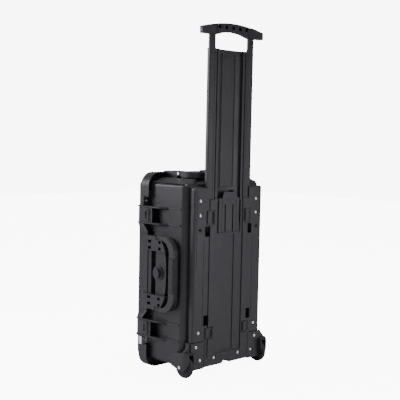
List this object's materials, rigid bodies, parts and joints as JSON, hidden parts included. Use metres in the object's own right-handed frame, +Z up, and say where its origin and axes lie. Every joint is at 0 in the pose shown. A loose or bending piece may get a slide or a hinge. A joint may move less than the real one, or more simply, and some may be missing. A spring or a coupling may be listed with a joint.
{
  "type": "hard equipment case",
  "caption": "Upright wheeled hard equipment case with a hinged lid, draw latches, folding carry handles and a pull-out trolley handle.",
  "frame": {"origin": "on the floor, under the centre of the overall box, standing on its wheels and lower rim", "axes": "+X to the latches and front carry handle, -X to the hinges, +Y to the trolley handle and wheels, -Y to the lid, +Z up the pull-out handle"},
  "size_m": [0.345, 0.244, 0.977],
  "materials": {
    "case_resin": "satin moulded resin, faint texture",
    "nylon": "moulded nylon",
    "grip_rubber": "soft overmould",
    "seal_rubber": "matte",
    "tyre_rubber": "matte",
    "steel": "stainless"
  },
  "bodies": {
    "base": {"base_shell": "case_resin", "hinge_pin_upper": "steel", "hinge_pin_lower": "steel", "padlock_plate_upper": "nylon", "padlock_plate_lower": "steel", "top_handle_pin_1": "steel", "top_handle_pin_2": "steel", "front_handle_pin_1": "steel", "front_handle_pin_2": "steel", "purge_valve_body": "nylon", "trolley_panel": "case_resin", "trolley_guide_left": "nylon", "trolley_guide_right": "nylon", "wheel_bracket_left": "case_resin", "wheel_bracket_right": "case_resin", "wheel_axle_left": "steel", "wheel_axle_right": "steel", "release_lever_pin": "steel", "release_spring": "steel", "panel_screw_left_1": "steel", "panel_screw_left_2": "steel", "panel_screw_left_3": "steel", "panel_screw_left_4": "steel", "bracket_screw_left_1": "steel", "bracket_screw_left_2": "steel", "panel_screw_right_1": "steel", "panel_screw_right_2": "steel", "panel_screw_right_3": "steel", "panel_screw_right_4": "steel", "bracket_screw_right_1": "steel", "bracket_screw_right_2": "steel"},
    "lid": {"lid_shell": "case_resin", "lid_seal": "seal_rubber", "latch_upper_plate_pin": "steel", "latch_lower_plate_pin": "steel"},
    "latch_upper_plate": {"latch_upper_plate": "nylon", "latch_upper_lever_pin": "steel"},
    "latch_upper_lever": {"latch_upper_lever": "nylon"},
    "latch_lower_plate": {"latch_lower_plate": "nylon", "latch_lower_lever_pin": "steel"},
    "latch_lower_lever": {"latch_lower_lever": "nylon"},
    "top_handle": {"top_handle_frame": "nylon", "top_handle_grip": "grip_rubber"},
    "front_handle": {"front_handle_frame": "nylon", "front_handle_grip": "grip_rubber"},
    "purge_knob": {"purge_valve_knob": "nylon"},
    "trolley": {"trolley_slide": "nylon", "trolley_grip": "nylon", "trolley_shoe_left": "nylon", "trolley_shoe_right": "nylon"},
    "release_lever": {"release_lever": "nylon"},
    "wheel_left": {"wheel_hub_left": "nylon", "wheel_tyre_left": "tyre_rubber"},
    "wheel_right": {"wheel_hub_right": "nylon", "wheel_tyre_right": "tyre_rubber"}
  },
  "joints": [
    {"name": "trolley_slide", "type": "slide", "parent": "base", "child": "trolley", "axis": [0, 0, 1], "range_m": [-0.405, 0]},
    {"name": "release_lever_rock", "type": "hinge", "parent": "base", "child": "release_lever", "pos_m": [0, 0.0978, 0.447], "axis": [-1, 0, 0], "range_deg": [0, 4], "stiffness_Nm_per_rad": 0.4, "springref_deg": -11.46},
    {"name": "lid_hinge", "type": "hinge", "parent": "base", "child": "lid", "pos_m": [-0.1665, -0.072, 0.28], "axis": [0, 0, -1], "range_deg": [0, 110]},
    {"name": "latch_upper_plate_pivot", "type": "hinge", "parent": "lid", "child": "latch_upper_plate", "pos_m": [0.165, -0.085, 0.441], "axis": [0, 0, -1], "range_deg": [0, 95]},
    {"name": "latch_upper_lever_pivot", "type": "hinge", "parent": "latch_upper_plate", "child": "latch_upper_lever", "pos_m": [0.167, -0.053, 0.441], "axis": [0, 0, -1], "range_deg": [0, 80]},
    {"name": "latch_lower_plate_pivot", "type": "hinge", "parent": "lid", "child": "latch_lower_plate", "pos_m": [0.165, -0.085, 0.119], "axis": [0, 0, -1], "range_deg": [0, 95]},
    {"name": "latch_lower_lever_pivot", "type": "hinge", "parent": "latch_lower_plate", "child": "latch_lower_lever", "pos_m": [0.167, -0.053, 0.119], "axis": [0, 0, -1], "range_deg": [0, 80]},
    {"name": "top_handle_fold", "type": "hinge", "parent": "base", "child": "top_handle", "pos_m": [0, -0.005, 0.5585], "axis": [1, 0, 0], "range_deg": [0, 90]},
    {"name": "front_handle_fold", "type": "hinge", "parent": "base", "child": "front_handle", "pos_m": [0.1645, -0.005, 0.28], "axis": [0, 0, -1], "range_deg": [0, 90]},
    {"name": "purge_knob_turn", "type": "hinge", "parent": "base", "child": "purge_knob", "pos_m": [0.168, -0.01, 0.28], "axis": [1, 0, 0], "range_deg": [0, 90]},
    {"name": "wheel_left_spin", "type": "hinge", "parent": "base", "child": "wheel_left", "pos_m": [0.146, 0.0895, 0.0325], "axis": [1, 0, 0], "continuous": true},
    {"name": "wheel_right_spin", "type": "hinge", "parent": "base", "child": "wheel_right", "pos_m": [-0.146, 0.0895, 0.0325], "axis": [1, 0, 0], "continuous": true}
  ]
}
